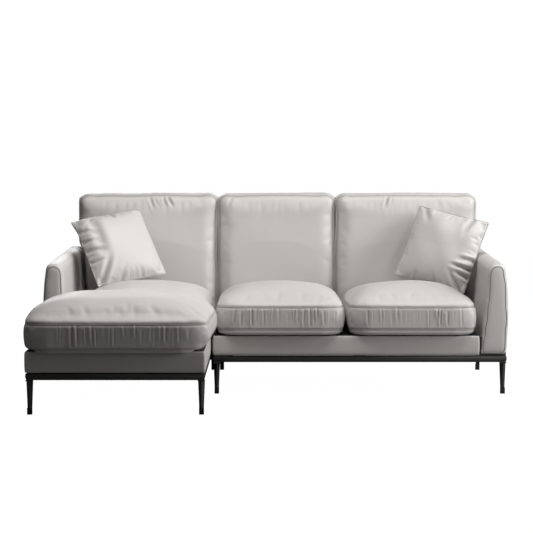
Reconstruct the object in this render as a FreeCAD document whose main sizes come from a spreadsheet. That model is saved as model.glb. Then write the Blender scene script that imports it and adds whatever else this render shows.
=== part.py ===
import FreeCAD, Part
import Sketcher
import math
import os
import re

# A corner sofa of two modules that stand side by side: a lounger on the left, whose seat runs
# forwards past its arm, and a two-seat sofa on the right. +X is right, +Y is back, +Z is up and the
# origin is under the middle of the pair, on the floor.

doc = FreeCAD.newDocument("CornerSofa")
sheet = doc.addObject("Spreadsheet::Sheet", "Sizes")
places = doc.addObject("App::VarSet", "Places")

sizes = {
    "loungerWidth": 757,
    "sofaWidth": 1352,
    "moduleGap": 15,
    "loungerDepth": 1500,
    "sofaDepth": 900,
    "baseSetback": 15,
    "legHeight": 147,
    "legTopWidth": 30,
    "legFootWidth": 21,
    "legTopFold": 20,
    "legFootFold": 14,
    "legSheet": 4,
    "legPlate": 3,
    "glideHeight": 29,
    "boltRadius": 4,
    "boltClearance": 0.2,
    "boltHeadRadius": 7,
    "boltHeadHeight": 5,
    "boltBehind": 12,
    "railHeight": 28,
    "railDepth": 40,
    "railWall": 2,
    "railSetback": 5,
    "padHeight": 5,
    "padLength": 60,
    "padWidth": 30,
    "beamThickness": 30,
    "beamHeight": 86,
    "springWire": 4,
    "springLoop": 42,
    "springPitch": 200,
    "springBearing": 18,
    "deckThickness": 2,
    "apronThickness": 5,
    "armBaseWidth": 128,
    "armTopWidth": 80,
    "armFrontHeight": 420,
    "armRearHeight": 460,
    "armCrown": 5,
    "armBulge": 9,
    "armWaist": 0.45,
    "armInnerBow": 6,
    "armTopInset": 7,
    "armInnerRadius": 26,
    "armOuterRadius": 16,
    "armBoard": 38,
    "armBoardDrop": 42,
    "backThickness": 85,
    "backBoard": 40,
    "backBoardDrop": 40,
    "backTopRadius": 22,
    "seatDepth": 620,
    "seatSideGap": 10,
    "seatBottomInset": 20,
    "seatLowerSeam": 31,
    "seatUpperSeam": 131,
    "seatCrown": 226,
    "seatShoulder": 250,
    "seatSeamInset": 3,
    "seatCorner": 42,
    "seatSideBow": 5,
    "loungerOverhang": 15,
    "loungerSideBow": 14,
    "backCushionHeight": 642,
    "backCushionCorner": 46,
    "backCushionBow": 5,
    "leftBackFlare": 54,
    "rightBackFlare": 74,
    "backCushionRidge": 56,
    "backCushionFoot": 14,
    "backCushionEase": 4,
    "backCushionLean": 24,
    "backCushionShift": 9,
    "backCushionStep": 24,
    "armCushionGap": 4,
    "cushionGap": 3,
    "softClearance": 0.4,
    "coverThickness": 2.5,
    "pillowSide": 372,
    "pillowLoft": 66,
    "pillowCorner": 12,
    "pillowDrawIn": 13,
    "pillowCrest": 26,
    "pillowLean": 29,
    "leftPillowIn": 166,
    "leftPillowStandoff": 150,
    "leftPillowRise": 157.4,
    "leftPillowTurn": 24,
    "leftPillowRoll": 11,
    "rightPillowIn": 119,
    "rightPillowStandoff": 141,
    "rightPillowRise": 147.8,
    "rightPillowTurn": 18,
    "rightPillowRoll": 15,
    "tongueThickness": 4,
    "tongueWidth": 40,
    "tongueDrop": 10,
    "tongueReach": 40,
    "tonguePlay": 2,
    "socketPlate": 4,
    "connectorInset": 200,
}

for row, (name, number) in enumerate(sizes.items(), start=1):
    sheet.set(f"A{row}", name)
    sheet.set(f"B{row}", str(number))
    sheet.setAlias(f"B{row}", name)
doc.recompute()


def bound(text):
    """Turn the names in an expression into references to the sheet or to the derived places."""
    def reference(found):
        word = found.group(0)
        if word in sizes:
            return "Sizes." + word
        if word in places.PropertiesList:
            return "Places." + word
        return word

    return re.sub(r"[A-Za-z]\w*", reference, text)


def place(name, text):
    places.addProperty("App::PropertyFloat", name, "Places")
    places.setExpression(name, bound(text))


place("rightSide", "(loungerWidth + moduleGap + sofaWidth + loungerOverhang - armBulge) / 2")
place("leftSide", "rightSide - loungerWidth - moduleGap - sofaWidth")
place("loungerRight", "leftSide + loungerWidth")
place("sofaLeft", "rightSide - sofaWidth")
place("backSide", "(loungerDepth + seatSideBow) / 2")
place("sofaFront", "backSide - sofaDepth + baseSetback")
place("loungerFront", "backSide - loungerDepth + baseSetback")
place("railTop", "legHeight + railHeight")
place("baseBottom", "railTop + padHeight")
place("beamTop", "baseBottom + beamHeight")
place("deckTop", "beamTop + springWire + deckThickness")
place("seatTop", "deckTop + softClearance + seatCrown")
place("armFrontTop", "baseBottom + armFrontHeight")
place("armRearTop", "baseBottom + armRearHeight")
place("backFront", "backSide - backThickness")
place("seatBack", "sofaFront - baseSetback + seatDepth")
place("armInnerRight", "rightSide - armBaseWidth")
place("armInnerLeft", "leftSide + armBaseWidth")
doc.recompute()


def number(name):
    """The number that a size or a derived place has."""
    if name in sizes:
        return float(sheet.get(name))
    return places.getPropertyByName(name)


def box(label, x, y, z):
    """A block between the low and high ends that x, y and z each give as two expressions."""
    piece = doc.addObject("Part::Box", label)
    for side, axis, (low, high) in (("Length", "x", x), ("Width", "y", y), ("Height", "z", z)):
        piece.setExpression(side, bound(f"({high}) - ({low})"))
        piece.setExpression(f"Placement.Base.{axis}", bound(low))
    return piece


def group(label, members):
    together = doc.addObject("Part::Compound", label)
    together.Links = members
    return together


def fused(label, members):
    together = doc.addObject("Part::MultiFuse", label)
    together.Shapes = members
    together.Refine = True
    return together


def less(label, base, tool):
    rest = doc.addObject("Part::Cut", label)
    rest.Base = base
    rest.Tool = tool
    return rest


def solid(label, shape):
    piece = doc.addObject("Part::Feature", label)
    piece.Shape = shape
    return piece


# Outlines of soft forms: straight or bowed sides between rounded square corners.

def inset(corners, depth):
    """Move each side of a square-cornered outline, listed anticlockwise, inwards by depth."""
    moved = []
    for index, corner in enumerate(corners):
        before = FreeCAD.Vector(*corners[index - 1], 0)
        here = FreeCAD.Vector(*corner, 0)
        after = FreeCAD.Vector(*corners[(index + 1) % len(corners)], 0)
        coming = (here - before).normalize()
        going = (after - here).normalize()
        point = here + FreeCAD.Vector(-coming.y, coming.x, 0) * depth
        point += FreeCAD.Vector(-going.y, going.x, 0) * depth
        moved.append((point.x, point.y))
    return moved


def outline(corners, radius, bows, height):
    """A closed wire at one height, with an arc at each corner and along each side."""
    up = FreeCAD.Vector(0, 0, height)
    turns = []
    for index, corner in enumerate(corners):
        here = FreeCAD.Vector(*corner, 0) + up
        back = (FreeCAD.Vector(*corners[index - 1], 0) + up - here).normalize()
        ahead = (FreeCAD.Vector(*corners[(index + 1) % len(corners)], 0) + up - here).normalize()
        inward = back + ahead
        middle = here + inward * radius - FreeCAD.Vector(inward).normalize() * radius
        turns.append((here + back * radius, middle, here + ahead * radius))
    edges = []
    for index, (start, middle, end) in enumerate(turns):
        edges.append(Part.Arc(start, middle, end).toShape())
        following = turns[(index + 1) % len(turns)][0]
        along = (following - end).normalize()
        outward = FreeCAD.Vector(along.y, -along.x, 0)
        if abs(bows[index]) > 0.01:
            crest = (end + following) / 2 + outward * bows[index]
            edges.append(Part.Arc(end, crest, following).toShape())
        else:
            edges.append(Part.LineSegment(end, following).toShape())
    return Part.Wire(edges)


def loft(wires):
    """A closed form with straight runs from each outline to the next."""
    return Part.makeLoft(wires, True, True)


def rounded(stages, turn):
    """Shares of the way inwards and upwards around a soft edge that turns by an angle in degrees."""
    last = math.radians(turn)
    shares = []
    for stage in range(stages + 1):
        angle = last * stage / stages
        shares.append(((1 - math.cos(angle)) / (1 - math.cos(last)), math.sin(angle) / math.sin(last)))
    return shares


# Each module stands on a frame of rectangular steel tube with four folded legs.

def tube(label, x, y):
    """A rail of rectangular tube with closed ends."""
    z = ("legHeight", "railTop")
    outside = box(f"{label}_outside", x, y, z)
    inside = [(f"{low} + railWall", f"{high} - railWall") for low, high in (x, y, z)]
    return less(label, outside, box(f"{label}_inside", *inside))


def makeRails(name, left, right, front):
    low, high = f"{front} + railSetback", "backSide - railSetback"
    tube(f"{name}_front_rail", (left, right), (low, f"{low} + railDepth"))
    tube(f"{name}_rear_rail", (left, right), (f"{high} - railDepth", high))
    between = (f"{low} + railDepth", f"{high} - railDepth")
    tube(f"{name}_left_rail", (left, f"{left} + railDepth"), between)
    tube(f"{name}_right_rail", (f"{right} - railDepth", right), between)


def onFloorPlane(body, kind, label, x, y, z):
    """A feature of a body, laid on the body's own XY plane and offset by three expressions."""
    feature = body.newObject(kind, label)
    plane = [item for item in body.Origin.OriginFeatures if item.Role == "XY_Plane"][0]
    feature.AttachmentSupport = (plane, [""])
    feature.MapMode = "FlatFace"
    for axis, text in (("x", x), ("y", y), ("z", z)):
        feature.setExpression(f"AttachmentOffset.Base.{axis}", bound(text))
    return feature


def legSketch(body, label, width, fold, height):
    """A folded sheet section, open to the back, with its ridge to the front."""
    sketch = onFloorPlane(body, "Sketcher::SketchObject", label, f"-{width} / 2", f"-{fold} / 2", height)
    points = [(0, 15), (12, 0), (24, 15), (20, 15), (12, 5), (4, 15)]
    across = ["", f"{width} / 2", width, f"{width} - legSheet", f"{width} / 2", "legSheet"]
    deep = [fold, "", fold, fold, "legSheet * 1.3", fold]
    corners = [FreeCAD.Vector(x, y, 0) for x, y in points]
    for index, corner in enumerate(corners):
        following = corners[(index + 1) % len(corners)]
        sketch.addGeometry(Part.LineSegment(corner, following), False)
    for index in range(len(corners)):
        sketch.addConstraint(Sketcher.Constraint("Coincident", index - 1 if index else 5, 2, index, 1))
    for index, (x, y) in enumerate(zip(across, deep)):
        for kind, text, axis, start in (("DistanceX", x, -2, corners[index].x),
                                        ("DistanceY", y, -1, corners[index].y)):
            if text:
                at = sketch.addConstraint(Sketcher.Constraint(kind, -1, 1, index, 1, start))
                sketch.setExpression(f"Constraints[{at}]", bound(text))
            else:
                sketch.addConstraint(Sketcher.Constraint("PointOnObject", index, 1, axis))
    return sketch


def makeLeg(label, x, y, turn):
    """A tapered leg of folded sheet under a plate with a bolt hole."""
    body = doc.addObject("PartDesign::Body", label)
    top = legSketch(body, f"{label}_top", "legTopWidth", "legTopFold", "legHeight - legPlate")
    foot = legSketch(body, f"{label}_foot", "legFootWidth", "legFootFold", "glideHeight")
    shaft = body.newObject("PartDesign::AdditiveLoft", f"{label}_shaft")
    shaft.Profile = (foot, [""])
    shaft.Sections = [(top, [""])]
    shaft.Ruled = True
    plate = onFloorPlane(body, "PartDesign::AdditiveBox", f"{label}_plate",
                         "-legTopWidth / 2", "-railDepth / 2", "legHeight - legPlate")
    plate.setExpression("Length", bound("legTopWidth"))
    plate.setExpression("Width", bound("railDepth"))
    plate.setExpression("Height", bound("legPlate"))
    hole = onFloorPlane(body, "PartDesign::SubtractiveCylinder", f"{label}_hole",
                        "0", "boltBehind", "legHeight - legPlate * 2")
    hole.setExpression("Radius", bound("boltRadius + boltClearance"))
    hole.setExpression("Height", bound("legPlate * 3"))
    body.Placement = FreeCAD.Placement(FreeCAD.Vector(), FreeCAD.Rotation(turn, 0, 0))
    body.setExpression("Placement.Base.x", bound(x))
    body.setExpression("Placement.Base.y", bound(y))
    return body


def makeLegs(name, left, right, front):
    columns = (("left", f"{left} + legTopWidth / 2"), ("right", f"{right} - legTopWidth / 2"))
    rows = (("front", f"{front} + railSetback + railDepth / 2", 0, 1),
            ("rear", "backSide - railSetback - railDepth / 2", 180, -1))
    glides, bolts = [], []
    for rowName, y, turn, way in rows:
        for columnName, x in columns:
            corner = f"{name}_{rowName}_{columnName}"
            makeLeg(f"{corner}_leg", x, y, turn)
            across = (f"{x} - legFootWidth / 2", f"{x} + legFootWidth / 2")
            deep = (f"{y} - legFootFold / 2", f"{y} + legFootFold / 2")
            glides.append(box(f"{corner}_glide", across, deep, ("0", "glideHeight")))
            bolts.append(makeBolt(f"{corner}_bolt", x, f"{y} + {way} * boltBehind"))
    group(f"{name}_glides", glides)
    group(f"{name}_bolts", bolts)


def makeBolt(label, x, y):
    """A bolt head under the leg's plate, with its shank up to the rail."""
    head = doc.addObject("Part::Prism", f"{label}_head")
    head.Polygon = 6
    head.setExpression("Circumradius", bound("boltHeadRadius"))
    head.setExpression("Height", bound("boltHeadHeight"))
    head.setExpression("Placement.Base.z", bound("legHeight - legPlate - boltHeadHeight"))
    shank = doc.addObject("Part::Cylinder", f"{label}_shank")
    shank.setExpression("Radius", bound("boltRadius"))
    shank.setExpression("Height", bound("boltHeadHeight / 2 + legPlate"))
    shank.setExpression("Placement.Base.z", bound("legHeight - legPlate - boltHeadHeight / 2"))
    for piece in (head, shank):
        piece.setExpression("Placement.Base.x", bound(x))
        piece.setExpression("Placement.Base.y", bound(y))
    return fused(label, [head, shank])


def makePads(name, left, right, front):
    """Thin pads on the rails, which leave the dark gap under the upholstered base."""
    middle = f"({left} + {right}) / 2"
    along = (f"{left} + padWidth", f"{middle} - padLength / 2", f"{right} - padWidth - padLength")
    inRail = "(railDepth - padWidth) / 2"
    rows = (f"{front} + railSetback + {inRail}", f"backSide - railSetback - {inRail} - padWidth")
    z = ("railTop", "baseBottom")
    pads = []
    for row, y in enumerate(rows):
        for column, x in enumerate(along):
            across, deep = (x, f"{x} + padLength"), (y, f"{y} + padWidth")
            pads.append(box(f"{name}_pad{row}{column}", across, deep, z))
    group(f"{name}_pads", pads)


makeRails("lounger", "leftSide", "loungerRight", "loungerFront")
makeRails("sofa", "sofaLeft", "rightSide", "sofaFront")
makeLegs("lounger", "leftSide", "loungerRight", "loungerFront")
makeLegs("sofa", "sofaLeft", "rightSide", "sofaFront")
makePads("lounger", "leftSide", "loungerRight", "loungerFront")
makePads("sofa", "sofaLeft", "rightSide", "sofaFront")


# The timber base: boards on edge under the springs, with the springs across their tops.

def makeBase(name, boards, fronts):
    """Boards on edge, given as x and y pairs. Those named in fronts run from side to side."""
    z = ("baseBottom", "beamTop")
    long, short = [], []
    for label, x, y in boards:
        board = box(f"{name}_{label}_beam", x, y, z)
        (long if label in fronts else short).append(board)
    group(f"{name}_long_beams", long)
    group(f"{name}_side_beams", short)


thick = "beamThickness"
skin = "apronThickness"
beamBack = "backFront"

loungerIn = ("armInnerLeft", f"loungerRight - {skin}")
foreLeft = f"leftSide + {skin}"
foreFront = f"loungerFront + {skin}"
foreBoards = f"{foreFront} + {thick}"
rearBoards = f"{beamBack} - {thick}"
makeBase("lounger", (
    ("front", (foreLeft, loungerIn[1]), (foreFront, foreBoards)),
    ("rear", loungerIn, (rearBoards, beamBack)),
    ("step", (foreLeft, "armInnerLeft"), (f"sofaFront - {thick}", "sofaFront - softClearance")),
    ("fore", (foreLeft, f"{foreLeft} + {thick}"), (foreBoards, f"sofaFront - {thick}")),
    ("left", ("armInnerLeft", f"armInnerLeft + {thick}"), (f"sofaFront - {thick}", rearBoards)),
    ("right", (f"{loungerIn[1]} - {thick}", loungerIn[1]), (foreBoards, rearBoards)),
), ("front", "rear", "step"))
nearLeft = f"sofaLeft + {skin}"
nearFront = f"sofaFront + {skin}"
nearBoards = f"{nearFront} + {thick}"
makeBase("sofa", (
    ("front", (nearLeft, "armInnerRight"), (nearFront, nearBoards)),
    ("rear", (nearLeft, "armInnerRight"), (rearBoards, beamBack)),
    ("left", (nearLeft, f"{nearLeft} + {thick}"), (nearBoards, rearBoards)),
    ("right", (f"armInnerRight - {thick}", "armInnerRight"), (nearBoards, rearBoards)),
), ("front", "rear"))


def zigzag(start, along, across, length):
    """One sinuous spring: straight cross runs joined by half turns, as a round wire."""
    radius = number("springWire") / 2
    half = number("springLoop") / 2
    turns = max(2, 2 * int(length / (4 * half)))
    step = length / turns
    reach = half - step / 2
    at = FreeCAD.Vector(start)
    edges = []
    side = 1
    for index in range(turns):
        tip = at + across * reach * side
        beyond = tip + along * step
        edges.append(Part.LineSegment(at - across * reach * side if index else at, tip).toShape())
        bend = (tip + beyond) / 2 + across * (step / 2) * side
        edges.append(Part.Arc(tip, bend, beyond).toShape())
        at = at + along * step
        side = -side
    edges.append(Part.LineSegment(at - across * reach * side, at).toShape())
    path = Part.Wire(edges)
    ring = Part.Wire(Part.makeCircle(radius, start, across))
    return path.makePipeShell([ring], True, False)


def makeSprings(name, first, last, spread, along, across, origin):
    """Springs side by side from first to last, each as long as spread says."""
    count = max(2, int((last - first) / number("springPitch")) + 1)
    pitch = (last - first) / count
    springs = []
    for index in range(count):
        offset = first + pitch * (index + 0.5)
        low, high = spread(offset)
        start = origin + across * offset + along * low
        springs.append(zigzag(start, along, across, high - low))
    solid(f"{name}_springs", Part.makeCompound(springs))


doc.recompute()
right = FreeCAD.Vector(1, 0, 0)
back = FreeCAD.Vector(0, 1, 0)
springLevel = FreeCAD.Vector(0, 0, number("beamTop") + number("springWire") / 2)
hold = number("springBearing")
skinDepth = number("apronThickness")


def loungerSpan(y):
    """The springs in front of the arm are longer than those beside it."""
    beside = y > number("sofaFront") - number("beamThickness")
    low = number("armInnerLeft") if beside else number("leftSide") + skinDepth
    return low + hold / 2, number("loungerRight") - skinDepth - hold / 2


def sofaSpan(x):
    return number("sofaFront") + skinDepth + hold / 2, number("backFront") - hold / 2


makeSprings("lounger", number("loungerFront") + number("beamThickness"),
            number("backFront") - number("beamThickness"), loungerSpan, right, back, springLevel)
makeSprings("sofa", number("sofaLeft") + number("beamThickness"),
            number("armInnerRight") - number("beamThickness"), sofaSpan, back, right, springLevel)

# A taut deck lies over the springs, and a leather apron hides the boards.

deckLevel = ("deckTop - deckThickness", "deckTop")
armStart = "sofaFront - softClearance"
group("lounger_deck", [
    box("lounger_fore_deck", (foreLeft, loungerIn[1]), (foreFront, armStart), deckLevel),
    box("lounger_rear_deck", loungerIn, (armStart, beamBack), deckLevel),
])
box("sofa_deck", (nearLeft, "armInnerRight"), (nearFront, beamBack), deckLevel)

apronLevel = ("baseBottom", "deckTop")
fused("lounger_apron", [
    box("lounger_front_apron", ("leftSide", "loungerRight"), ("loungerFront", foreFront), apronLevel),
    box("lounger_left_apron", ("leftSide", foreLeft), ("loungerFront", armStart), apronLevel),
    box("lounger_right_apron", (loungerIn[1], "loungerRight"), ("loungerFront", beamBack), apronLevel),
])
fused("sofa_apron", [
    box("sofa_front_apron", ("sofaLeft", "armInnerRight"), ("sofaFront", nearFront), apronLevel),
    box("sofa_left_apron", ("sofaLeft", nearLeft), ("sofaFront", beamBack), apronLevel),
])


# The arms: a board inside a padded leather form that is widest at its foot.

def armSection(side, y, top):
    """The closed outline of an arm across its length. side is 1 for the right arm."""
    outer = side * number("rightSide")
    base = number("baseBottom")
    foot = outer - side * number("armBaseWidth")
    topOuter = outer - side * number("armTopInset")
    topInner = topOuter - side * number("armTopWidth")
    bulge = outer + side * number("armBulge")
    innerRound = number("armInnerRadius")
    outerRound = number("armOuterRadius")
    waist = base + (top - base) * number("armWaist")

    def at(x, z):
        return FreeCAD.Vector(x, y, z)

    diagonal = 1 - math.sqrt(0.5)
    innerLean = at((foot + topInner) / 2 + side * number("armInnerBow"), (base + top - innerRound) / 2)
    edges = [
        Part.LineSegment(at(outer, base), at(foot, base)),
        Part.Arc(at(foot, base), innerLean, at(topInner, top - innerRound)),
        Part.Arc(at(topInner, top - innerRound),
                 at(topInner + side * innerRound * diagonal, top - innerRound * diagonal),
                 at(topInner + side * innerRound, top)),
        Part.Arc(at(topInner + side * innerRound, top),
                 at((topInner + topOuter + side * (innerRound - outerRound)) / 2, top + number("armCrown")),
                 at(topOuter - side * outerRound, top)),
        Part.Arc(at(topOuter - side * outerRound, top),
                 at(topOuter - side * outerRound * diagonal, top - outerRound * diagonal),
                 at(topOuter, top - outerRound)),
        Part.Arc(at(topOuter, top - outerRound), at(bulge, waist), at(outer, base)),
    ]
    return Part.Wire([edge.toShape() for edge in edges])


def makeArm(name, side):
    front, rear = number("sofaFront"), number("backFront")
    low, high = number("armFrontTop"), number("armRearTop")
    form = Part.makeLoft([armSection(side, front, low), armSection(side, rear, high)], True, True)
    middle = f"{side} * (rightSide - armTopInset - armTopWidth / 2)"
    across = (f"{middle} - armBoard / 2", f"{middle} + armBoard / 2")
    deep = ("sofaFront + armBoardDrop", "backFront - softClearance")
    board = box(f"{name}_arm_board", across, deep, ("baseBottom", "armFrontTop - armBoardDrop"))
    doc.recompute()
    room = board.Shape.BoundBox
    gap = number("softClearance")
    pocket = Part.makeBox(room.XLength + 2 * gap, room.YLength + 3 * gap, room.ZLength + 2 * gap,
                          FreeCAD.Vector(room.XMin - gap, room.YMin - gap, room.ZMin - gap))
    solid(f"{name}_arm", form.cut(pocket))


makeArm("lounger", -1)
makeArm("sofa", 1)


# The backs: a board inside a padded leather form as high as the arms' rear ends.

def makeBack(name, left, right):
    gap = number("softClearance")
    front, rear = number("backFront") + gap, number("backSide")
    base, top = number("baseBottom"), number("armRearTop")
    turn = number("backTopRadius")
    diagonal = 1 - math.sqrt(0.5)
    x = number(left)

    def at(y, z):
        return FreeCAD.Vector(x, y, z)

    crest = at((front + rear) / 2, top + number("armCrown"))
    section = Part.Wire([edge.toShape() for edge in (
        Part.LineSegment(at(front, base), at(rear, base)),
        Part.LineSegment(at(rear, base), at(rear, top - turn)),
        Part.Arc(at(rear, top - turn), at(rear - turn * diagonal, top - turn * diagonal),
                 at(rear - turn, top)),
        Part.Arc(at(rear - turn, top), crest, at(front + turn, top)),
        Part.Arc(at(front + turn, top), at(front + turn * diagonal, top - turn * diagonal),
                 at(front, top - turn)),
        Part.LineSegment(at(front, top - turn), at(front, base)),
    )])
    form = Part.Face(section).extrude(FreeCAD.Vector(number(right) - x, 0, 0))
    board = box(f"{name}_back_board", (f"{left} + backBoardDrop", f"{right} - backBoardDrop"),
                ("backSide - (backThickness + backBoard) / 2", "backSide - (backThickness - backBoard) / 2"),
                ("baseBottom", "armRearTop - backBoardDrop"))
    doc.recompute()
    room = board.Shape.BoundBox
    pocket = Part.makeBox(room.XLength + 2 * gap, room.YLength + 2 * gap, room.ZLength + 2 * gap,
                          FreeCAD.Vector(room.XMin - gap, room.YMin - gap, room.ZMin - gap))
    solid(f"{name}_back", form.cut(pocket))


makeBack("lounger", "leftSide", "loungerRight")
makeBack("sofa", "sofaLeft", "rightSide")

# Seat cushions: a boxed band between two seams, with a domed top and a drawn-in foot.
# The dome turns over in stages, by domeTurn degrees. A corner takes up less than half of its side.

domeStages = 7
domeTurn = 78
tightest = 0.45

def seatForm(corners, bows, shrink):
    """The outer form of a seat cushion, or of its core when shrink is above zero."""
    floor = number("deckTop") + number("softClearance") + shrink
    lower = floor + number("seatLowerSeam") - shrink
    upper = floor + number("seatUpperSeam") - 2 * shrink
    top = floor + number("seatCrown") - 3 * shrink
    drawn = number("seatBottomInset")
    seam = number("seatSeamInset")
    dome = number("seatShoulder") - seam

    def ring(depth, height, bowed):
        moved = inset(corners, depth + shrink)
        sides = [math.dist(moved[index - 1], moved[index]) for index in range(len(moved))]
        turn = min(number("seatCorner") - shrink + depth / 2, tightest * min(sides))
        return outline(moved, turn, [bow * bowed for bow in bows], height)

    rings = [
        ring(drawn, floor, 0.3),
        ring(drawn / 3, floor + (lower - floor) / 3, 0.6),
        ring(seam, lower, 0.9),
        ring(0, (lower + upper) / 2, 1),
    ]
    for inwards, rise in rounded(domeStages, domeTurn):
        rings.append(ring(seam + dome * inwards, upper + (top - upper) * rise, 0.9 - 0.8 * inwards))
    return loft(rings)


def makeSeat(name, corners, bows):
    """A leather cover with a foam core inside it."""
    cover = number("coverThickness")
    gap = number("softClearance")
    form = seatForm(corners, bows, 0)
    solid(f"{name}_cover", form.cut(seatForm(corners, bows, cover)))
    solid(f"{name}_core", seatForm(corners, bows, cover + gap))


seatFront = number("sofaFront") - number("baseSetback")
seatBack = number("seatBack")
seatBow = number("seatSideBow")
firstSide = number("sofaLeft") + number("seatSideGap")
lastSide = number("armInnerRight") - number("seatSideGap")
gap = number("cushionGap")
middle = (firstSide + lastSide) / 2
inner = seatBow + gap / 2
for name, low, high in (("left_seat", firstSide, middle - inner), ("right_seat", middle + inner, lastSide)):
    makeSeat(name, [(low, seatFront), (high, seatFront), (high, seatBack), (low, seatBack)],
             [seatBow, seatBow, 0, seatBow])

foreSide = number("leftSide") - number("loungerOverhang") + seatBow
notchSide = number("armInnerLeft") + number("seatSideGap")
innerSide = number("loungerRight")
loungerFront = number("loungerFront") - number("baseSetback")
makeSeat("lounger_seat",
         [(foreSide, loungerFront), (innerSide, loungerFront), (innerSide, seatBack),
          (notchSide, seatBack), (notchSide, seatFront), (foreSide, seatFront)],
         [seatBow, number("loungerSideBow"), 0, 0, 0, seatBow])

# Back cushions: they stand on the deck behind the seats, lean back a little and end in a soft ridge,
# which turns over in stages, by ridgeTurn degrees.

ridgeStages = 5
ridgeTurn = 74

def backForm(left, right, flares, shrink):
    """flares are how far the cushion widens over an arm, on its left and on its right."""
    clear = number("softClearance") + shrink
    floor = number("deckTop") + clear
    top = number("deckTop") + number("backCushionHeight") - shrink
    bow = number("backCushionBow")
    ease = number("backCushionEase")
    front = seatBack + bow + ease + shrink
    rear = number("backFront") - ease - clear
    arm = number("armRearTop")
    foot = number("backCushionFoot")
    ridge = number("backCushionRidge")
    lean = number("backCushionLean")
    turn = number("backCushionCorner") - shrink

    def ring(height, drawn, widened, leaned, bowed):
        low = left + shrink + drawn - flares[0] * widened
        high = right - shrink - drawn + flares[1] * widened
        near, far = front + drawn + lean * leaned, rear - drawn + lean * leaned
        corners = [(low, near), (high, near), (high, far), (low, far)]
        return outline(corners, turn * (1 - drawn / ridge / 2), [bow * bowed, 0, 0, 0], height)

    shoulder = top - ridge
    rings = [
        ring(floor, foot, 0, 0, 0),
        ring(floor + foot, foot / 3, 0.05, 0, 0),
        ring(floor + 3 * foot, 0, 0.12, 0, 0.2),
        ring(floor + 6 * foot, 0, 0.2, 0, 0.4),
        ring((floor + arm) / 2, 0, 0.3, 0, 0.7),
        ring(arm - 2 * ease, 0, 0.5, 0, 0.8),
        ring(arm + 2 * foot, 0, 0.9, 0.1, 0.9),
        ring((arm + shoulder) / 2, 0, 1, 0.4, 1),
    ]
    for inwards, rise in rounded(ridgeStages, ridgeTurn):
        rings.append(ring(shoulder + ridge * rise, ridge * inwards, 1, 0.7 + 0.3 * rise, 0.8 - 0.4 * inwards))
    return loft(rings)


def makeBackCushion(name, left, right, flares):
    cover = number("coverThickness")
    form = backForm(left, right, flares, 0)
    solid(f"{name}_cover", form.cut(backForm(left, right, flares, cover)))
    solid(f"{name}_core", backForm(left, right, flares, cover + number("softClearance")))


gap = number("cushionGap")
armLeft = number("armInnerLeft") + number("armCushionGap")
armRight = number("armInnerRight") - number("armCushionGap")
modulesMeet = (number("loungerRight") + number("sofaLeft")) / 2 + number("backCushionShift")
cushionsMeet = (modulesMeet + number("armInnerRight")) / 2 - number("backCushionStep")
makeBackCushion("left_back", armLeft, modulesMeet - gap, (number("leftBackFlare"), 0))
makeBackCushion("middle_back", modulesMeet + gap, cushionsMeet - gap, (0, 0))
makeBackCushion("right_back", cushionsMeet + gap, armRight, (0, number("rightBackFlare")))

# Throw pillows: two crowned faces that meet in a thin edge, with the sides drawn in. The profile goes
# from the edge to the crest, as shares of the way inwards and of the loft.

pillowProfile = ((0, 0), (0.1, 0.27), (0.24, 0.53), (0.42, 0.75), (0.66, 0.92), (1, 1))

def pillowForm(shrink):
    side = number("pillowSide") / 2 - shrink
    loftHeight = number("pillowLoft") - shrink
    square = [(-side, -side), (side, -side), (side, side), (-side, side)]
    crest = side - number("pillowCrest")

    def ring(inwards, rise):
        corner = number("pillowCorner") * (1 + inwards)
        bows = [-number("pillowDrawIn") * (1 - inwards)] * 4
        return outline(inset(square, crest * inwards), corner, bows, loftHeight * rise)

    rear = [ring(inwards, -rise) for inwards, rise in reversed(pillowProfile)]
    front = [ring(inwards, rise) for inwards, rise in pillowProfile[1:]]
    return loft(rear + front)


def makePillow(name, centre, turn, lean, roll):
    """Turned to the right by turn, tipped back by lean and rolled in its own plane by roll."""
    turn, lean, roll = (math.radians(angle) for angle in (turn, lean, roll))
    level = FreeCAD.Vector(math.cos(turn), math.sin(turn), 0)
    facing = FreeCAD.Vector(math.sin(turn), -math.cos(turn), math.tan(lean)).normalize()
    upwards = facing.cross(level)
    across = level * math.cos(roll) + upwards * math.sin(roll)
    along = upwards * math.cos(roll) - level * math.sin(roll)
    cover = number("coverThickness")
    form = pillowForm(0)
    for label, shape in ((f"{name}_cover", form.cut(pillowForm(cover))),
                         (f"{name}_core", pillowForm(cover + number("softClearance")))):
        piece = solid(label, shape)
        piece.Placement = FreeCAD.Placement(centre, FreeCAD.Rotation(across, along, facing))


for side, edge, way in (("left", armLeft, 1), ("right", armRight, -1)):
    centre = FreeCAD.Vector(edge + way * number(f"{side}PillowIn"), seatBack - number(f"{side}PillowStandoff"),
                            number("seatTop") + number(f"{side}PillowRise"))
    makePillow(f"{side}_pillow", centre, way * number(f"{side}PillowTurn"), number("pillowLean"),
               way * number(f"{side}PillowRoll"))

# Two flat tongues on the lounger slide into sockets under the sofa's left rail.

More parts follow.
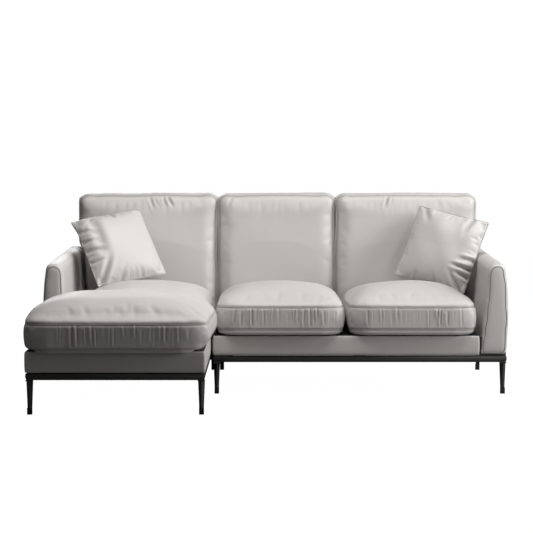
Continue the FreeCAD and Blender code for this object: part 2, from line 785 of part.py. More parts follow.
rows = (("front", "sofaFront + connectorInset"), ("rear", "backSide - connectorInset"))
tongues, sockets = [], []
for row, y in rows:
    across = (f"{y} - tongueWidth / 2", f"{y} + tongueWidth / 2")
    low = "legHeight - tongueDrop"
    tongues.append(fused(f"{row}_tongue", [
        box(f"{row}_tongue_block", ("loungerRight - railDepth", "loungerRight"), across, (low, "legHeight")),
        box(f"{row}_tongue_bar", ("loungerRight - railDepth", "sofaLeft + tongueReach"), across,
            (low, f"{low} + tongueThickness")),
    ]))
    along = ("sofaLeft", "sofaLeft + railDepth")
    foot = f"{low} - tonguePlay - socketPlate"
    cheek = "tongueWidth / 2 + tonguePlay"
    sockets.append(box(f"{row}_socket_floor", along, (f"{y} - ({cheek})", f"{y} + {cheek}"),
                       (foot, f"{foot} + socketPlate")))
    sockets.append(box(f"{row}_socket_near", along, (f"{y} - ({cheek}) - socketPlate", f"{y} - ({cheek})"),
                       (foot, "legHeight")))
    sockets.append(box(f"{row}_socket_far", along, (f"{y} + {cheek}", f"{y} + {cheek} + socketPlate"),
                       (foot, "legHeight")))
group("lounger_tongues", tongues)
group("sofa_sockets", sockets)

# Every object is checked, then each sub-part that nothing else uses is written under its name.

doc.recompute()
for item in doc.Objects:
    if "Invalid" in item.State or "Error" in item.State:
        raise RuntimeError(f"{item.Label} did not build: {item.State}")
subparts = [item for item in doc.Objects if hasattr(item, "Shape") and not item.InList]
for item in subparts:
    if item.Shape.isNull() or not item.Shape.isValid() or not item.Shape.Solids:
        raise RuntimeError(f"{item.Label} has no valid solid")
os.makedirs("parts", exist_ok=True)
for item in subparts:
    item.Shape.exportStep(f"parts/{item.Label}.step")
print(len(subparts), "sub-parts written")
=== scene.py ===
# A corner sofa with its lounger on the left, in pale grey leather on a dark metal frame.
# Metres, +Z up, the front faces -Y. The CAD nodes are the fixed frame that every piece is made around.
import bmesh
import bpy
import math
import numpy as np
from mathutils import Matrix, Vector


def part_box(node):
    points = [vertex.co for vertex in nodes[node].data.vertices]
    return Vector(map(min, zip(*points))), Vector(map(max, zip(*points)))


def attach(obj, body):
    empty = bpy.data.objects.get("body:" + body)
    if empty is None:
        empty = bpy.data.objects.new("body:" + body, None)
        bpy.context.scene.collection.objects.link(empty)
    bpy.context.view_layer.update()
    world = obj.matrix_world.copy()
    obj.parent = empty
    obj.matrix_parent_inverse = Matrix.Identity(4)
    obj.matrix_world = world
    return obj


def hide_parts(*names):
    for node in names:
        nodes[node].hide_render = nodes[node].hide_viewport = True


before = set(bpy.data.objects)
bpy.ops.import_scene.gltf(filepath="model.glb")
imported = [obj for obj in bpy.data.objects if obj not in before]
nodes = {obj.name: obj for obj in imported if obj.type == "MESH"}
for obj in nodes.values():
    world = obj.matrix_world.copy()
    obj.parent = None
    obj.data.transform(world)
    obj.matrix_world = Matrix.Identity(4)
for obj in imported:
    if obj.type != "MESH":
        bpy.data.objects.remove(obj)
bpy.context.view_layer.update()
scene = bpy.context.scene
print("frame loaded:", len(nodes), "nodes")

# Camera, floor and light

view = {"place": (-0.042, -7.0485, 1.033), "down": 3.66, "lens": 102.04, "sensor": 36}
studio = {
    "fill": 0.062,          # warm grey light from all round
    "floorGlow": 0.99,      # the floor as the camera sees it
    "floorTone": 0.12,      # how much light the floor sends back
    "boxes": (              # name, place, aim, width and depth, watts
        ("overhead", (0.15, -0.75, 2.9), (0.05, 0.15, 0.5), (2.8, 0.5), 58),
        ("farRight", (4.2, -0.8, 2.0), (-0.4, 0.1, 0.5), (1.7, 1.7), 125),
        ("nearRight", (2.0, 0.0, 1.5), (0.9, 0.4, 0.7), (0.6, 0.6), 5),
        ("rightFront", (1.45, -1.5, 0.75), (0.65, -0.1, 0.35), (0.5, 0.5), 5.0),
        ("leftTop", (-0.5, -0.3, 1.25), (-1.0, -0.1, 0.5), (0.4, 0.4), 1.6),
        ("rear", (-1.6, 4.6, 2.2), (0.0, 0.6, 0.5), (2.4, 1.6), 60),
    ),
}


def addCamera():
    camera = bpy.data.objects.new("camera", bpy.data.cameras.new("camera"))
    camera.data.lens = view["lens"]
    camera.data.sensor_width = view["sensor"]
    camera.location = view["place"]
    camera.rotation_euler = (math.radians(90 - view["down"]), 0, 0)
    scene.collection.objects.link(camera)
    scene.camera = camera


def wire(tree, start, out, end, into):
    tree.links.new(start.outputs[out], end.inputs[into])


def addWorld():
    world = bpy.data.worlds.new("studio")
    world.use_nodes = True
    scene.world = world
    tree = world.node_tree
    ground = tree.nodes["Background"]
    seen = tree.nodes.new("ShaderNodeBackground")
    path = tree.nodes.new("ShaderNodeLightPath")
    mixed = tree.nodes.new("ShaderNodeMixShader")
    ground.inputs["Color"].default_value = (1, 0.94, 0.90, 1)
    ground.inputs["Strength"].default_value = studio["fill"]
    seen.inputs["Color"].default_value = (1, 1, 1, 1)
    wire(tree, path, "Is Camera Ray", mixed, 0)
    wire(tree, ground, 0, mixed, 1)
    wire(tree, seen, 0, mixed, 2)
    wire(tree, mixed, 0, tree.nodes["World Output"], "Surface")
    scene.view_settings.view_transform = "Standard"


def addFloor():
    bm = bmesh.new()
    bmesh.ops.create_grid(bm, x_segments=2, y_segments=2, size=60)
    floor = pieceFrom("floor", bm)
    paint = bpy.data.materials.new("paleFloor")
    paint.use_nodes = True
    tree = paint.node_tree
    matt = tree.nodes["Principled BSDF"]
    matt.inputs["Base Color"].default_value = (studio["floorTone"],) * 3 + (1,)
    matt.inputs["Roughness"].default_value = 0.9
    matt.inputs["Specular IOR Level"].default_value = 0.1
    glow = tree.nodes.new("ShaderNodeEmission")
    glow.inputs["Strength"].default_value = studio["floorGlow"]
    path = tree.nodes.new("ShaderNodeLightPath")
    both = tree.nodes.new("ShaderNodeAddShader")
    mixed = tree.nodes.new("ShaderNodeMixShader")
    wire(tree, path, "Is Camera Ray", mixed, 0)
    wire(tree, matt, 0, both, 0)
    wire(tree, glow, 0, both, 1)
    wire(tree, matt, 0, mixed, 1)
    wire(tree, both, 0, mixed, 2)
    wire(tree, mixed, 0, tree.nodes["Material Output"], "Surface")
    floor.data.materials.append(paint)


def addLights():
    for name, place, aim, size, watts in studio["boxes"]:
        lamp = bpy.data.lights.new(name, "AREA")
        lamp.shape = "RECTANGLE"
        lamp.size, lamp.size_y = size
        lamp.energy = watts
        lamp.color = (1, 0.995, 0.99)
        box = bpy.data.objects.new(name, lamp)
        box.location = place
        box.rotation_euler = (Vector(aim) - Vector(place)).to_track_quat("-Z", "Y").to_euler()
        box.visible_camera = False
        scene.collection.objects.link(box)


# Small helpers for meshes

def pieceFrom(name, bm):
    mesh = bpy.data.meshes.new(name)
    bm.to_mesh(mesh)
    bm.free()
    piece = bpy.data.objects.new(name, mesh)
    scene.collection.objects.link(piece)
    return piece


def nodeForm(name):        # a CAD node's loose triangles joined into one skin
    bm = bmesh.new()
    bm.from_mesh(nodes[name].data)
    bmesh.ops.remove_doubles(bm, verts=bm.verts, dist=0.00002)
    return bm


def settle(piece):         # the modifiers become the mesh
    graph = bpy.context.evaluated_depsgraph_get()
    mesh = bpy.data.meshes.new_from_object(piece.evaluated_get(graph))
    old = piece.data
    piece.modifiers.clear()
    piece.data = mesh
    mesh.name = old.name
    bpy.data.meshes.remove(old)


def spotsOf(mesh):
    spots = np.empty(len(mesh.vertices) * 3)
    mesh.vertices.foreach_get("co", spots)
    return spots.reshape(-1, 3)


def facingOf(mesh):
    facing = np.empty(len(mesh.vertices) * 3)
    mesh.vertex_normals.foreach_get("vector", facing)
    return facing.reshape(-1, 3)


def moveTo(mesh, spots):
    mesh.vertices.foreach_set("co", np.ascontiguousarray(spots).ravel())
    mesh.update()


def ease(value, low, high):
    way = np.clip((value - low) / (high - low), 0, 1)
    return way * way * (3 - 2 * way)


def ripple(spots, length, seed, waves=9):   # soft unevenness between about -1 and 1
    draw = np.random.default_rng(seed)
    total = np.zeros(len(spots))
    for _ in range(waves):
        way = draw.normal(size=3)
        way *= 2 * math.pi / length * draw.uniform(0.6, 1.5) / np.linalg.norm(way)
        total += np.sin(spots @ way + draw.uniform(0, 2 * math.pi))
    return total / math.sqrt(waves)


def folded(across, up, lines):   # how high each place lies beside sharp valleys along straight lines
    height = np.zeros(len(across))
    for x0, y0, x1, y1, width, depth in lines:
        length = math.hypot(x1 - x0, y1 - y0)
        way = ((across - x0) * (x1 - x0) + (up - y0) * (y1 - y0)) / length ** 2
        off = ((up - y0) * (x1 - x0) - (across - x0) * (y1 - y0)) / length / width
        reach = ease(way, -0.15, 0.12) * (1 - ease(way, 0.45, 1.1))
        banks = np.exp(-((off - 1.7) / 0.9) ** 2) + np.exp(-((off + 1.7) / 0.9) ** 2)
        height -= depth * reach * (np.exp(-off ** 2) - 0.45 * banks)
    return height


def smoothOut(piece, rounds):
    bm = bmesh.new()
    bm.from_mesh(piece.data)
    for _ in range(rounds):
        bmesh.ops.smooth_vert(bm, verts=bm.verts, factor=0.5,
                              use_axis_x=True, use_axis_y=True, use_axis_z=True)
    bm.to_mesh(piece.data)
    bm.free()


def remeshed(name, form, voxel, rounds):
    piece = pieceFrom(name, form)
    skin = piece.modifiers.new("skin", "REMESH")
    skin.mode = "VOXEL"
    skin.voxel_size = voxel
    settle(piece)
    smoothOut(piece, rounds)
    return piece


def subdivided(piece):
    finer = piece.modifiers.new("finer", "SUBSURF")
    finer.levels = finer.render_levels = 1
    settle(piece)


def inflate(piece, held, settings):   # cloth under air pressure, its travel capped
    before = spotsOf(piece.data)
    group = piece.vertex_groups.new(name="held")
    group.add(np.flatnonzero(held).tolist(), 1, "REPLACE")
    cloth = piece.modifiers.new("cloth", "CLOTH")
    rules = cloth.settings
    rules.quality = 4
    rules.mass = 0.3
    rules.tension_stiffness = rules.compression_stiffness = 15
    rules.shear_stiffness = 5
    rules.bending_stiffness = 0.6
    rules.use_pressure = True
    rules.uniform_pressure_force = settings["pressure"]
    rules.vertex_group_mass = "held"
    rules.shrink_min = -settings["slack"]
    rules.effector_weights.gravity = 0
    cloth.collision_settings.use_collision = False
    cloth.point_cache.frame_start = 1
    cloth.point_cache.frame_end = settings["frames"]
    for number in range(1, settings["frames"] + 1):
        scene.frame_set(number)
    settle(piece)
    cap = settings["cap"]
    move = spotsOf(piece.data) - before
    far = np.maximum(np.linalg.norm(move, axis=1, keepdims=True), 1e-9)
    moveTo(piece.data, before + move * cap * np.tanh(far / cap) / far)
    piece.vertex_groups.clear()
    scene.frame_set(1)


def cutLine(mesh, spot, normal):   # the longest outline where a plane cuts the mesh
    bm = bmesh.new()
    bm.from_mesh(mesh)
    everything = bm.verts[:] + bm.edges[:] + bm.faces[:]
    bmesh.ops.bisect_plane(bm, geom=everything, plane_co=spot, plane_no=normal,
                           clear_inner=True, clear_outer=True)
    left = set(bm.verts)
    best = []
    while left:
        start = left.pop()
        line = [start]
        while True:
            steps = [e.other_vert(line[-1]) for e in line[-1].link_edges]
            steps = [v for v in steps if v in left]
            if not steps:
                break
            line.append(steps[0])
            left.discard(steps[0])
        if len(line) > len(best):
            best = line
    found = np.array([v.co[:] for v in best])
    bm.free()
    return found


def evened(line, spacing, rounds=3):   # a closed line with even steps, slightly smoothed
    closed = np.vstack([line, line[:1]])
    along = np.concatenate([[0], np.cumsum(np.linalg.norm(np.diff(closed, axis=0), axis=1))])
    count = max(8, int(along[-1] / spacing))
    wanted = np.linspace(0, along[-1], count, endpoint=False)
    even = np.stack([np.interp(wanted, along, closed[:, axis]) for axis in range(3)], axis=1)
    for _ in range(rounds):
        even = (np.roll(even, 1, 0) + 2 * even + np.roll(even, -1, 0)) / 4
    return even


def weltMesh(line, radius):   # a round cord sewn along a closed line
    path = bpy.data.curves.new("welt", "CURVE")
    path.dimensions = "3D"
    path.bevel_depth = radius
    path.bevel_resolution = 1
    spline = path.splines.new("POLY")
    spline.points.add(len(line) - 1)
    for point, spot in zip(spline.points, line):
        point.co = (*spot, 1)
    spline.use_cyclic_u = True
    holder = bpy.data.objects.new("welt", path)
    mesh = bpy.data.meshes.new_from_object(holder)
    bpy.data.objects.remove(holder)
    bpy.data.curves.remove(path)
    return mesh


def seamed(piece, masks, welts, weltShadeLevel=0.45):   # adds the welts and keeps the painted shade of seams, welts and creases as an attribute
    bm = bmesh.new()
    bm.from_mesh(piece.data)
    shade = [masks]
    for mesh in welts:
        bm.from_mesh(mesh)
        shade.append(np.full(len(mesh.vertices), weltShadeLevel))
        bpy.data.meshes.remove(mesh)
    bm.to_mesh(piece.data)
    bm.free()
    # the attribute holds painted shade: each seam's dip, the creases and the welts
    mark = piece.data.attributes.new("seam", "FLOAT", "POINT")
    mark.data.foreach_set("value", np.concatenate(shade).astype(np.float32))
    piece.data.shade_smooth()


def dress(piece, material, body, replaced):
    piece.data.materials.clear()
    piece.data.materials.append(material)
    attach(piece, body)
    if replaced:
        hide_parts(*replaced)


# Shader groups: each holds an effect that several materials use

def newGroup(name, inputs, outputs):
    tree = bpy.data.node_groups.new(name, "ShaderNodeTree")
    kinds = {"value": "NodeSocketFloat", "colour": "NodeSocketColor", "vector": "NodeSocketVector"}
    for title, kind, default in inputs:
        socket = tree.interface.new_socket(name=title, in_out="INPUT", socket_type=kinds[kind])
        if default is not None:
            socket.default_value = default
    for title, kind in outputs:
        tree.interface.new_socket(name=title, in_out="OUTPUT", socket_type=kinds[kind])
    return tree, tree.nodes.new("NodeGroupInput"), tree.nodes.new("NodeGroupOutput")


def mathNode(tree, operation, first, second=None, clamp=False):
    node = tree.nodes.new("ShaderNodeMath")
    node.operation = operation
    node.use_clamp = clamp
    for slot, value in enumerate((first, second)):
        if value is None:
            continue
        if isinstance(value, (int, float)):
            node.inputs[slot].default_value = value
        else:
            tree.links.new(value, node.inputs[slot])
    return node.outputs[0]


def noiseNode(tree, source, scale, detail=3, rough=0.5, distortion=0.0):
    node = tree.nodes.new("ShaderNodeTexNoise")
    node.inputs["Detail"].default_value = detail
    node.inputs["Roughness"].default_value = rough
    node.inputs["Distortion"].default_value = distortion
    tree.links.new(source, node.inputs["Vector"])
    if isinstance(scale, (int, float)):
        node.inputs["Scale"].default_value = scale
    else:
        tree.links.new(scale, node.inputs["Scale"])
    return node.outputs["Fac"]


def mixColour(tree, factor, first, second):
    node = tree.nodes.new("ShaderNodeMix")
    node.data_type = "RGBA"
    for slot, value in ((0, factor), (6, first), (7, second)):
        if isinstance(value, (int, float, tuple)):
            node.inputs[slot].default_value = value
        else:
            tree.links.new(value, node.inputs[slot])
    return node.outputs[2]


def leatherGroup():   # pebbled grain, soft creases, a cloudy tint, and painted shade at seams, welts and creases
    tree, given, out = newGroup("leatherSkin", (
        ("Vector", "vector", None), ("Colour", "colour", (0.5, 0.5, 0.5, 1)), ("Grain Scale", "value", 700),
        ("Crease Scale", "value", 9), ("Crease Depth", "value", 0.5), ("Seam", "value", 0)),
        (("Colour", "colour"), ("Roughness", "value"), ("Normal", "vector")))
    spot = given.outputs["Vector"]
    cells = tree.nodes.new("ShaderNodeTexVoronoi")
    cells.feature = "SMOOTH_F1"
    cells.inputs["Smoothness"].default_value = 0.6
    wire(tree, given, "Vector", cells, "Vector")
    wire(tree, given, "Grain Scale", cells, "Scale")
    pores = noiseNode(tree, spot, mathNode(tree, "MULTIPLY", given.outputs["Grain Scale"], 0.45))
    clouds = noiseNode(tree, spot, 2.2, 4, 0.55, 0.4)
    creases = noiseNode(tree, spot, given.outputs["Crease Scale"], 5, 0.6, 1.2)
    ridged = mathNode(tree, "ABSOLUTE", mathNode(tree, "SUBTRACT", creases, 0.5))
    valley = mathNode(tree, "SUBTRACT", 1, mathNode(tree, "MULTIPLY", ridged, 3, True))
    fold = mathNode(tree, "POWER", valley, 3)
    cloudy = mathNode(tree, "MULTIPLY", clouds, 0.16)
    tinted = mixColour(tree, cloudy, given.outputs["Colour"], (0.36, 0.33, 0.30, 1))
    # the shade input mixes the colour towards a near-black brown: painted shade at seams, welts and creases
    shade = mathNode(tree, "MULTIPLY", given.outputs["Seam"], 0.75, True)
    withPaintedShade = mixColour(tree, shade, tinted, (0.10, 0.085, 0.075, 1))
    pebbled = mathNode(tree, "MULTIPLY", cells.outputs["Distance"], 0.10)
    tree.links.new(mixColour(tree, pebbled, withPaintedShade, (0.25, 0.23, 0.21, 1)), out.inputs["Colour"])
    gloss = mathNode(tree, "ADD", 0.36, mathNode(tree, "MULTIPLY", clouds, 0.16))
    gloss = mathNode(tree, "ADD", gloss, mathNode(tree, "MULTIPLY", pores, 0.08))
    tree.links.new(gloss, out.inputs["Roughness"])
    broad = tree.nodes.new("ShaderNodeBump")
    broad.inputs["Distance"].default_value = 0.004
    tree.links.new(mathNode(tree, "MULTIPLY", given.outputs["Crease Depth"], 0.35), broad.inputs["Strength"])
    tree.links.new(mathNode(tree, "MULTIPLY", fold, -0.5), broad.inputs["Height"])
    fine = tree.nodes.new("ShaderNodeBump")
    fine.inputs["Strength"].default_value = 0.25
    fine.inputs["Distance"].default_value = 0.0004
    height = mathNode(tree, "ADD", cells.outputs["Distance"], mathNode(tree, "MULTIPLY", pores, 0.6))
    tree.links.new(height, fine.inputs["Height"])
    wire(tree, broad, "Normal", fine, "Normal")
    wire(tree, fine, "Normal", out, "Normal")
    return tree


def speckGroup():     # fine unevenness for metal, wood, cloth and plastic
    tree, given, out = newGroup("fineFinish", (
        ("Vector", "vector", None), ("Colour", "colour", (0.5, 0.5, 0.5, 1)),
        ("Second Colour", "colour", (0.4, 0.4, 0.4, 1)), ("Scale", "value", 300),
        ("Rough Low", "value", 0.3), ("Rough High", "value", 0.5), ("Depth", "value", 0.2)),
        (("Colour", "colour"), ("Roughness", "value"), ("Normal", "vector")))
    spot = given.outputs["Vector"]
    fine = noiseNode(tree, spot, given.outputs["Scale"], 4, 0.6)
    broad = noiseNode(tree, spot, 6, 3, 0.5, 0.5)
    both = mathNode(tree, "MULTIPLY", mathNode(tree, "ADD", fine, broad), 0.5)
    tinted = mixColour(tree, both, given.outputs["Colour"], given.outputs["Second Colour"])
    tree.links.new(tinted, out.inputs["Colour"])
    spread = mathNode(tree, "SUBTRACT", given.outputs["Rough High"], given.outputs["Rough Low"])
    gloss = mathNode(tree, "ADD", given.outputs["Rough Low"], mathNode(tree, "MULTIPLY", both, spread))
    tree.links.new(gloss, out.inputs["Roughness"])
    bump = tree.nodes.new("ShaderNodeBump")
    bump.inputs["Distance"].default_value = 0.0005
    wire(tree, given, "Depth", bump, "Strength")
    tree.links.new(fine, bump.inputs["Height"])
    wire(tree, bump, "Normal", out, "Normal")
    return tree


leatherSkin = leatherGroup()
fineFinish = speckGroup()


def newMaterial(name, group, values, shader, stretch=None):
    material = bpy.data.materials.new(name)
    material.use_nodes = True
    tree = material.node_tree
    glossy = tree.nodes["Principled BSDF"]
    for socket, value in shader.items():
        glossy.inputs[socket].default_value = value
    spot = tree.nodes.new("ShaderNodeTexCoord")
    effect = tree.nodes.new("ShaderNodeGroup")
    effect.node_tree = group
    for socket, value in values.items():
        effect.inputs[socket].default_value = value
    if stretch:
        mapping = tree.nodes.new("ShaderNodeMapping")
        mapping.inputs["Scale"].default_value = stretch
        wire(tree, spot, "Object", mapping, "Vector")
        wire(tree, mapping, "Vector", effect, "Vector")
    else:
        wire(tree, spot, "Object", effect, "Vector")
    wire(tree, effect, "Colour", glossy, "Base Color")
    wire(tree, effect, "Roughness", glossy, "Roughness")
    wire(tree, effect, "Normal", glossy, "Normal")
    return material, effect


leatherTone = (0.60, 0.582, 0.567, 1)


def leather(name, creaseScale, creaseDepth):
    material, effect = newMaterial(name, leatherSkin, {
        "Colour": leatherTone, "Grain Scale": 720, "Crease Scale": creaseScale, "Crease Depth": creaseDepth},
        {"Specular IOR Level": 0.42, "Sheen Weight": 0.06, "Sheen Roughness": 0.4})
    tree = material.node_tree
    # the seam attribute holds painted shade for seams, welts and creases
    mark = tree.nodes.new("ShaderNodeAttribute")
    mark.attribute_name = "seam"
    wire(tree, mark, "Fac", effect, "Seam")
    return material


seatLeather = leather("seatLeather", 7, 0.35)
backLeather = leather("backLeather", 5, 0.25)
frameLeather = leather("frameLeather", 6, 0.12)
pillowLeather = leather("pillowLeather", 11, 0.5)


def finish(name, colour, second, scale, rough, depth, shader, stretch=None):
    values = {"Colour": colour + (1,), "Second Colour": second + (1,), "Scale": scale,
              "Rough Low": rough[0], "Rough High": rough[1], "Depth": depth}
    return newMaterial(name, fineFinish, values, shader, stretch)[0]


finishes = {
    "gunmetal": finish("gunmetal", (0.060, 0.059, 0.057), (0.095, 0.093, 0.090), 420, (0.34, 0.50), 0.08,
                       {"Metallic": 0.5}),
    "zinc_steel": finish("zincSteel", (0.42, 0.42, 0.40), (0.30, 0.30, 0.29), 260, (0.30, 0.48), 0.1,
                         {"Metallic": 1.0}),
    "timber": finish("pinewood", (0.50, 0.34, 0.19), (0.36, 0.22, 0.11), 60, (0.55, 0.75), 0.4,
                     {}, (1, 1, 9)),
    "deck_cloth": finish("deckCloth", (0.028, 0.028, 0.030), (0.045, 0.045, 0.047), 900, (0.8, 0.95),
                         0.5, {}),
    "glide_plastic": finish("glidePlastic", (0.012, 0.012, 0.012), (0.020, 0.020, 0.020), 500, (0.35, 0.5),
                            0.15, {}),
    "pad_rubber": finish("padRubber", (0.020, 0.020, 0.020), (0.030, 0.030, 0.030), 300, (0.6, 0.8),
                         0.2, {}),
}
print("materials made")

# The metal frame: each member keeps its CAD form, with its edges broken so that they catch the light

modules = ("lounger", "sofa")
metal = {"edge": 0.0009, "sharp": 30, "flat": 1.0, "underCut": 0.010}    # metres and degrees


def undercut(bm, module):   # the rail's lower outer edge becomes a slope that lies in shade
    low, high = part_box(f"{module}_front_rail")
    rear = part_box(f"{module}_rear_rail")[1].y
    play = metal["edge"] / 4

    def outer(edge):
        first, second = (v.co for v in edge.verts)
        level = max(first.z, second.z) < low.z + play
        ends = max(first.y, second.y) < low.y + play or min(first.y, second.y) > rear - play
        sides = max(first.x, second.x) < low.x + play or min(first.x, second.x) > high.x - play
        return level and (ends or sides)

    lowest = [e for e in bm.edges if outer(e)]
    bmesh.ops.bevel(bm, geom=lowest, offset=metal["underCut"], offset_type="OFFSET", segments=1, profile=0.5,
                    affect="EDGES", material=-1, clamp_overlap=True)


def brokenEdges(module, part):
    node = f"{module}_{part}"
    bm = nodeForm(node)
    bmesh.ops.dissolve_limit(bm, angle_limit=math.radians(metal["flat"]), verts=bm.verts, edges=bm.edges)
    limit = math.radians(metal["sharp"])
    if node.endswith("rail"):
        undercut(bm, module)
    crisp = [e for e in bm.edges if e.is_manifold and e.calc_face_angle(0) > limit]
    bmesh.ops.bevel(bm, geom=crisp, offset=metal["edge"], offset_type="OFFSET", segments=2, profile=0.5,
                    affect="EDGES", material=-1, clamp_overlap=True)
    piece = pieceFrom(node + "_finished", bm)
    piece.data.shade_smooth()
    piece.data.set_sharp_from_angle(angle=limit)
    dress(piece, finishes["gunmetal"], module, [node])


for module in modules:
    for part in ("front_rail", "rear_rail", "left_rail", "right_rail",
                 "front_left_leg", "front_right_leg", "rear_left_leg", "rear_right_leg"):
        brokenEdges(module, part)
print("metal frame finished")

# sizes of the near-black strips and blocks that are painted shade in the gaps
shadowFill = {
    "inset": 0.007, "width": 0.005, "play": 0.0003,
    "jointIn": 0.010, "jointDepth": 0.006, "jointWidth": 0.024, "jointHeight": 0.086,
    "armIn": 0.012, "armHeight": 0.019,
}


def addBlock(bm, place, size):
    bmesh.ops.create_cube(bm, size=1, matrix=Matrix.Translation(place) @ Matrix.Diagonal((*size, 1)))


def addShadowFill(module):       # near-black strips and blocks close the gaps between the rails, the base and the arm, as painted shade where those gaps lie in shadow
    front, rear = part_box(f"{module}_front_rail"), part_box(f"{module}_rear_rail")
    left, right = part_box(f"{module}_left_rail"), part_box(f"{module}_right_rail")
    bottom, top = front[1].z + shadowFill["play"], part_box(f"{module}_apron")[0].z - shadowFill["play"]
    west, east = left[0].x + shadowFill["inset"], right[1].x - shadowFill["inset"]
    south, north = front[0].y + shadowFill["inset"], rear[1].y - shadowFill["inset"]
    bm = bmesh.new()
    size = Matrix.Diagonal((east - west, north - south, 1, 1))
    place = Matrix.Translation(((east + west) / 2, (north + south) / 2, bottom))
    bmesh.ops.create_grid(bm, x_segments=1, y_segments=1, size=0.5, matrix=place @ size)
    middle = bm.faces[:]
    bmesh.ops.inset_region(bm, faces=middle, thickness=shadowFill["width"], use_even_offset=True)
    bmesh.ops.delete(bm, geom=middle, context="FACES")
    raised = bmesh.ops.extrude_face_region(bm, geom=bm.faces[:])["geom"]
    corners = [v for v in raised if isinstance(v, bmesh.types.BMVert)]
    bmesh.ops.translate(bm, verts=corners, vec=(0, 0, top - bottom))
    bmesh.ops.recalc_face_normals(bm, faces=bm.faces)
    low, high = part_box(f"{module}_arm")
    side = 1 if low.x > 0 else -1
    joint = low.x if side > 0 else high.x
    wide, deep, tall = high.x - low.x - shadowFill["armIn"], shadowFill["jointDepth"], shadowFill["jointHeight"]
    addBlock(bm, (joint, low.y + shadowFill["jointIn"] + deep / 2, top + shadowFill["play"] + tall / 2),
             (shadowFill["jointWidth"], deep, tall))
    addBlock(bm, (joint + side * wide / 2, low.y + shadowFill["armIn"] + deep / 2, bottom + shadowFill["armHeight"] / 2),
             (wide, deep * 2, shadowFill["armHeight"]))
    dress(pieceFrom(f"{module}_felt", bm), finishes["pad_rubber"], module, [])


for module in modules:
    addShadowFill(module)
print("felt strips laid")

hidden = {        # the parts below and inside, which keep their CAD form
    "glides": "glide_plastic", "bolts": "zinc_steel", "pads": "pad_rubber", "long_beams": "timber",
    "side_beams": "timber", "springs": "zinc_steel", "deck": "deck_cloth", "arm_board": "timber",
    "back_board": "timber",
}
kept = {f"{module}_{part}": kind for module in modules for part, kind in hidden.items()}
kept.update(lounger_tongues="gunmetal", sofa_sockets="gunmetal")
for node, kind in kept.items():
    nodes[node].data.materials.clear()
    nodes[node].data.materials.append(finishes[kind])

# Arms, backs and base bands: leather drawn over the padded frame

upholstery = {
    "armVoxel": 0.0095, "backVoxel": 0.011, "rounds": 10, "uneven": 0.0009, "waves": 0.21, "calm": 0.06,
    # the level of painted shade on the welts is given here
    "armWeltIn": 0.0045, "backWeltIn": 0.012, "weltRadius": 0.0023, "weltShade": 0.95, "weltStep": 0.006,
    "dipWidth": 0.0045, "dipDepth": 0.003, "fill": 0.9,
    "bandVoxel": 0.0036, "bandRounds": 2, "bandPuff": 0.003, "bandSkin": 0.0025,
}


def dipAt(spots, facing, spot, normal, width, depth):   # a seam pulls the leather in
    normal = np.array(normal, float)
    off = np.abs((spots - np.array(spot)) @ normal)
    across = 1 - np.abs(facing @ normal)
    mask = np.exp(-(off / width) ** 2) * ease(across, 0.15, 0.6)
    return spots - facing * (depth * mask)[:, None], mask


def upholstered(module, part, voxel, seam):   # the seam runs round the piece at one depth
    settings, node = upholstery, f"{module}_{part}"
    piece = remeshed(node + "_leather", nodeForm(node), voxel, settings["rounds"])
    subdivided(piece)
    spots, facing = spotsOf(piece.data), facingOf(piece.data)
    free = np.minimum(1, np.abs(spots[:, 1] - seam) / settings["calm"])   # even beside the seam
    uneven = settings["uneven"] * free * ripple(spots, settings["waves"], len(node))
    spots = spots + facing * uneven[:, None]
    plane = ((0, seam, 0), (0, 1, 0))
    spots, mask = dipAt(spots, facing, *plane, settings["dipWidth"], settings["dipDepth"])
    moveTo(piece.data, spots)
    line = evened(cutLine(piece.data, *plane), settings["weltStep"])
    # the seam's dip and its welt carry painted shade into the leather's colour
    seamed(piece, mask, [weltMesh(line, settings["weltRadius"])], settings["weltShade"])
    dress(piece, frameLeather, module, [node])


def addArms():
    for module in modules:
        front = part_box(f"{module}_arm")[0].y + upholstery["armWeltIn"]
        upholstered(module, "arm", upholstery["armVoxel"], front)


def addBacks():
    for module in modules:
        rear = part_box(f"{module}_back")[1].y - upholstery["backWeltIn"]
        upholstered(module, "back", upholstery["backVoxel"], rear)


def addBands():          # the base bands swell a little between the rails and the cushions
    settings, skin = upholstery, upholstery["bandSkin"]
    for module in modules:
        node = f"{module}_apron"
        low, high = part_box(node)
        piece = remeshed(node + "_leather", nodeForm(node), settings["bandVoxel"], settings["bandRounds"])
        spots, facing = spotsOf(piece.data), facingOf(piece.data)
        middle, half = (low.z + high.z) / 2, (high.z - low.z) / 2
        rise = np.clip(1 - np.abs((spots[:, 2] - middle) / half) ** 4, 0, 1)
        ends = (spots[:, 0] > high.x - skin) | (spots[:, 0] < low.x + skin)
        puff = settings["bandPuff"] * rise * ((spots[:, 1] < low.y + skin) | ends)
        moveTo(piece.data, spots + facing * (1, 1, 0) * puff[:, None])
        seamed(piece, np.zeros(len(spots)), [])
        dress(piece, frameLeather, module, [node])


addArms()
addBacks()
addBands()
print("arms, backs and base bands made")

# Seat cushions: crowned tops, two welted seams and gathered boxing in front

